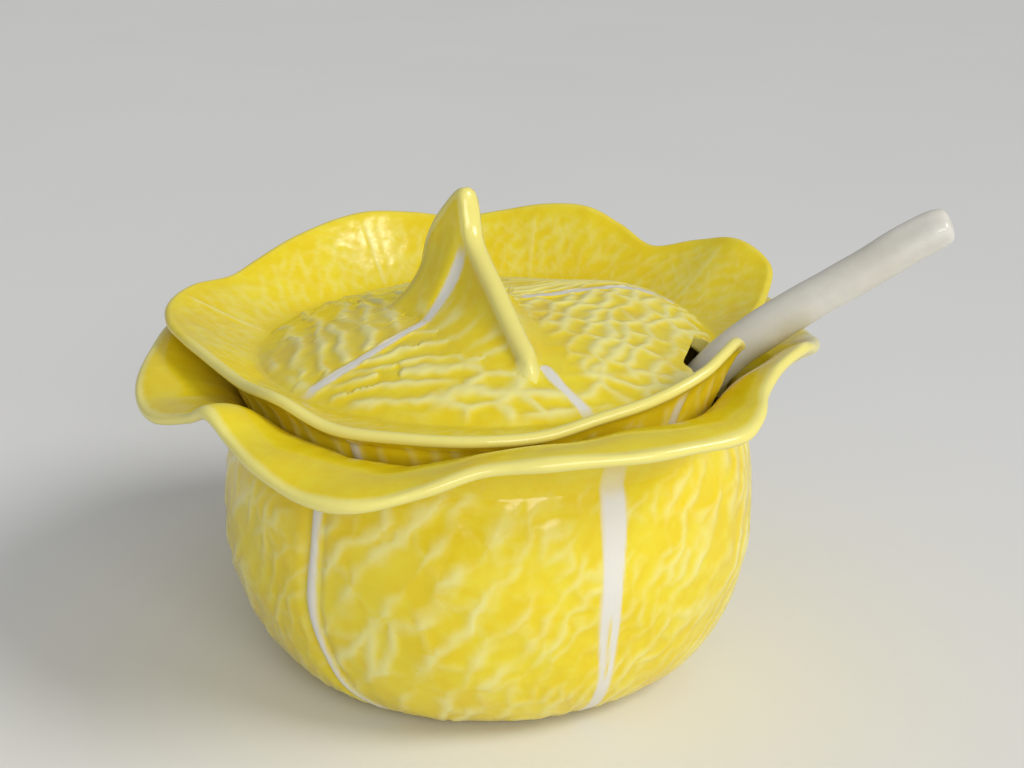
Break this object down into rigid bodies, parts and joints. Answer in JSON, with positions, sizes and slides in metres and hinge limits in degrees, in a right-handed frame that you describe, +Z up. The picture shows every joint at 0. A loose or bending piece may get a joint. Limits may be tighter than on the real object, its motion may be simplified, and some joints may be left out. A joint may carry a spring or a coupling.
{
  "type": "soup tureen",
  "caption": "Cabbage-leaf soup tureen in glazed ceramic: a leaf-wrapped bowl with a wavy rim, a lift-off lid with a folded-leaf crest and ladle notch, and a ladle.",
  "frame": {"origin": "centre of the bowl's flat foot, on the surface it stands on", "axes": "+Z up, -Y the tureen's front, +X the side the ladle handle leaves on"},
  "size_m": [0.352, 0.3138, 0.2205],
  "materials": {
    "bowl_glaze": "gloss",
    "lid_glaze": "gloss",
    "ladle_glaze": "gloss"
  },
  "bodies": {
    "bowl": {"tureen_bowl": "bowl_glaze"},
    "lid": {"lid": "lid_glaze"},
    "ladle": {"ladle": "ladle_glaze"}
  },
  "joints": [
    {"name": "lid_lift", "type": "slide", "parent": "bowl", "child": "lid", "axis": [0, 0, 1], "range_m": [0, 0.18]},
    {"name": "ladle_draw", "type": "slide", "parent": "bowl", "child": "ladle", "axis": [0.4872, -0.1125, 0.866], "range_m": [0, 0.08]}
  ]
}
